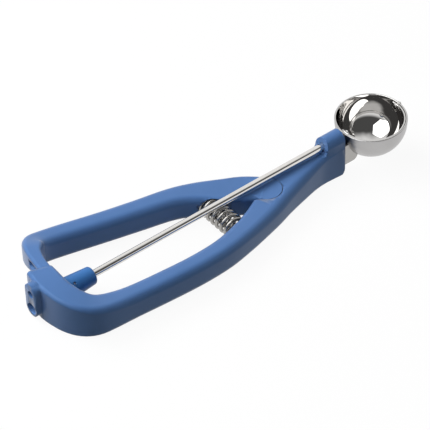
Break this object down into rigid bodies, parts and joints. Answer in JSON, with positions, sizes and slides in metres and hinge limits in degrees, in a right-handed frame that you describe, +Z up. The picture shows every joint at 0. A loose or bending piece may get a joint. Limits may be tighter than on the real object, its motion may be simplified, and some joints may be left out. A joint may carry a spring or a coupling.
{
  "type": "lever ice cream scoop",
  "caption": "Squeeze-handle ice cream scoop: half-ball steel bowl on a moulded blue handle, with a sprung lever arm, a geared drive shaft and a sweeping wiper.",
  "frame": {"origin": "on the flat underside of the neck, straight below the drive shaft, where the scoop rests on a table", "axes": "+X towards the bowl, +Y towards the lever arm, +Z up out of the bowl's open face"},
  "size_m": [0.2388, 0.0694, 0.0278],
  "materials": {
    "handle_nylon": "satin moulded",
    "lever_nylon": "satin moulded",
    "hub_nylon": "satin moulded",
    "bowl_steel": "polished",
    "bracket_steel": "bright",
    "wiper_steel": "bright",
    "shaft_steel": "drawn",
    "spring_steel": "drawn wire",
    "pin_steel": "turned"
  },
  "bodies": {
    "handle": {"fixed_handle": "handle_nylon", "bowl": "bowl_steel", "bowl_bracket": "bracket_steel", "guide_pin": "pin_steel", "wiper_pivot_pin": "pin_steel", "return_spring": "spring_steel"},
    "lever": {"moving_handle": "lever_nylon", "pivot_pin": "pin_steel"},
    "wiper": {"drive_shaft": "shaft_steel", "pinion_hub": "hub_nylon", "hub_pin": "pin_steel", "wiper_blade": "wiper_steel", "wiper_collar": "wiper_steel"}
  },
  "joints": [
    {"name": "lever_squeeze", "type": "hinge", "parent": "handle", "child": "lever", "pos_m": [-0.01322, -0.004, 0.01829], "axis": [-0.0872, 0, 0.9962], "range_deg": [0, 5], "stiffness_Nm_per_rad": 0.5, "springref_deg": -45.84, "deforming": ["return_spring"]},
    {"name": "shaft_spin", "type": "hinge", "parent": "handle", "child": "wiper", "pos_m": [0.06, 0, 0.0247], "axis": [0.9962, 0, 0.0872], "range_deg": [0, 165]}
  ],
  "couplings": [
    {"joint": "shaft_spin", "follows": "lever_squeeze", "ratio": 32.95}
  ]
}
